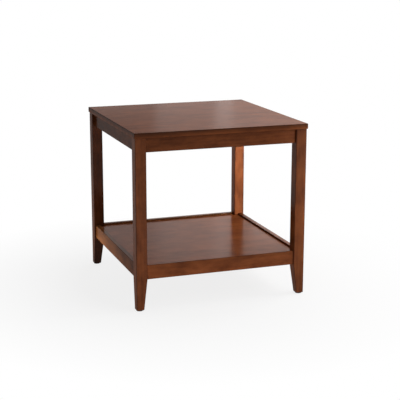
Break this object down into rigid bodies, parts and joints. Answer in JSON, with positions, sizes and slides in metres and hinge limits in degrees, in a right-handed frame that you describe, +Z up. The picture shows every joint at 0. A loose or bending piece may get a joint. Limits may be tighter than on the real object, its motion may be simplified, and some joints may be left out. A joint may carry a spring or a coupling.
{
  "type": "end table with shelf",
  "caption": "Square wooden end table with recessed aprons, legs that taper on their inner faces, and a lower shelf panel set in a rail frame.",
  "frame": {"origin": "on the floor, under the middle of the square top", "axes": "+Z up, -Y towards the front, +X towards the right side"},
  "size_m": [0.61, 0.61, 0.6],
  "materials": {
    "stained_wood": "reddish brown stain under semi-gloss lacquer, fine straight grain",
    "inner_wood": "plain planed hardwood, unstained",
    "dowel_beech": "plain turned beech",
    "zinc_steel": "bright zinc plate",
    "glide_nylon": "dark brown moulded nylon"
  },
  "bodies": {
    "root": {"table_top": "stained_wood", "shelf_panel": "stained_wood", "leg_front_left": "stained_wood", "leg_front_right": "stained_wood", "leg_back_right": "stained_wood", "leg_back_left": "stained_wood", "apron_front": "stained_wood", "apron_right": "stained_wood", "apron_back": "stained_wood", "apron_left": "stained_wood", "shelf_rail_front": "stained_wood", "shelf_rail_right": "stained_wood", "shelf_rail_back": "stained_wood", "shelf_rail_left": "stained_wood", "shelf_cleat_front": "inner_wood", "shelf_cleat_right": "inner_wood", "shelf_cleat_back": "inner_wood", "shelf_cleat_left": "inner_wood", "corner_block_front_left": "inner_wood", "corner_block_front_right": "inner_wood", "corner_block_back_right": "inner_wood", "corner_block_back_left": "inner_wood", "foot_glide_front_left": "glide_nylon", "foot_glide_front_right": "glide_nylon", "foot_glide_back_right": "glide_nylon", "foot_glide_back_left": "glide_nylon", "apron_dowels": "dowel_beech", "shelf_rail_dowels": "dowel_beech", "hanger_bolts": "zinc_steel", "hanger_bolt_washers": "zinc_steel", "hanger_bolt_nuts": "zinc_steel", "top_screws": "zinc_steel", "corner_block_screws": "zinc_steel", "cleat_screws": "zinc_steel", "shelf_panel_screws": "zinc_steel", "glide_nails": "zinc_steel"}
  },
  "joints": []
}
